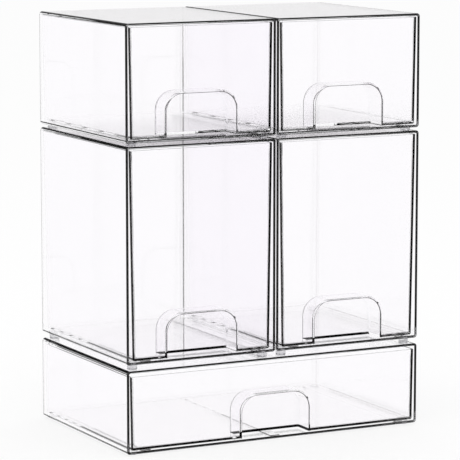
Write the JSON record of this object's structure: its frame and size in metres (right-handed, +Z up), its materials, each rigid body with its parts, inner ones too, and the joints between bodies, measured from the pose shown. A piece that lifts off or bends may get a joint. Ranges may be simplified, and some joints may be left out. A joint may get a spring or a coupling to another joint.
{
  "type": "stackable storage drawers",
  "caption": "Stack of clear plastic storage units, each a case open at the front with a sliding drawer that has an arched finger pull.",
  "frame": {"origin": "ground level under the middle of the stack", "axes": "+Z up, +X to the right and +Y to the back, seen from the front where the drawers open"},
  "size_m": [0.32, 0.202, 0.4115],
  "materials": {
    "clear_case": "clear moulded plastic, polished",
    "clear_drawer": "clear moulded plastic, polished",
    "clear_foot": "clear soft rubber, satin"
  },
  "bodies": {
    "bottom_unit": {"bottom_case": "clear_case", "bottom_foot_front_left": "clear_foot", "bottom_foot_front_right": "clear_foot", "bottom_foot_back_left": "clear_foot", "bottom_foot_back_right": "clear_foot"},
    "bottom_tray": {"bottom_drawer": "clear_drawer"},
    "middle_left_unit": {"middle_left_case": "clear_case", "middle_left_foot_front_left": "clear_foot", "middle_left_foot_front_right": "clear_foot", "middle_left_foot_back_left": "clear_foot", "middle_left_foot_back_right": "clear_foot"},
    "middle_left_tray": {"middle_left_drawer": "clear_drawer"},
    "top_left_unit": {"top_left_case": "clear_case", "top_left_foot_front_left": "clear_foot", "top_left_foot_front_right": "clear_foot", "top_left_foot_back_left": "clear_foot", "top_left_foot_back_right": "clear_foot"},
    "top_left_tray": {"top_left_drawer": "clear_drawer"},
    "middle_right_unit": {"middle_right_case": "clear_case", "middle_right_foot_front_left": "clear_foot", "middle_right_foot_front_right": "clear_foot", "middle_right_foot_back_left": "clear_foot", "middle_right_foot_back_right": "clear_foot"},
    "middle_right_tray": {"middle_right_drawer": "clear_drawer"},
    "top_right_unit": {"top_right_case": "clear_case", "top_right_foot_front_left": "clear_foot", "top_right_foot_front_right": "clear_foot", "top_right_foot_back_left": "clear_foot", "top_right_foot_back_right": "clear_foot"},
    "top_right_tray": {"top_right_drawer": "clear_drawer"}
  },
  "joints": [
    {"name": "bottom_drawer_slide", "type": "slide", "parent": "bottom_unit", "child": "bottom_tray", "axis": [0, -1, 0], "range_m": [0, 0.15]},
    {"name": "middle_left_drawer_slide", "type": "slide", "parent": "middle_left_unit", "child": "middle_left_tray", "axis": [0, -1, 0], "range_m": [0, 0.15]},
    {"name": "top_left_drawer_slide", "type": "slide", "parent": "top_left_unit", "child": "top_left_tray", "axis": [0, -1, 0], "range_m": [0, 0.15]},
    {"name": "middle_right_drawer_slide", "type": "slide", "parent": "middle_right_unit", "child": "middle_right_tray", "axis": [0, -1, 0], "range_m": [0, 0.15]},
    {"name": "top_right_drawer_slide", "type": "slide", "parent": "top_right_unit", "child": "top_right_tray", "axis": [0, -1, 0], "range_m": [0, 0.15]},
    {"name": "middle_left_lift", "type": "slide", "parent": "bottom_unit", "child": "middle_left_unit", "axis": [0, 0, 1], "range_m": [0, 0.06]},
    {"name": "top_left_lift", "type": "slide", "parent": "middle_left_unit", "child": "top_left_unit", "axis": [0, 0, 1], "range_m": [0, 0.06]},
    {"name": "middle_right_lift", "type": "slide", "parent": "bottom_unit", "child": "middle_right_unit", "axis": [0, 0, 1], "range_m": [0, 0.06]},
    {"name": "top_right_lift", "type": "slide", "parent": "middle_right_unit", "child": "top_right_unit", "axis": [0, 0, 1], "range_m": [0, 0.06]}
  ]
}
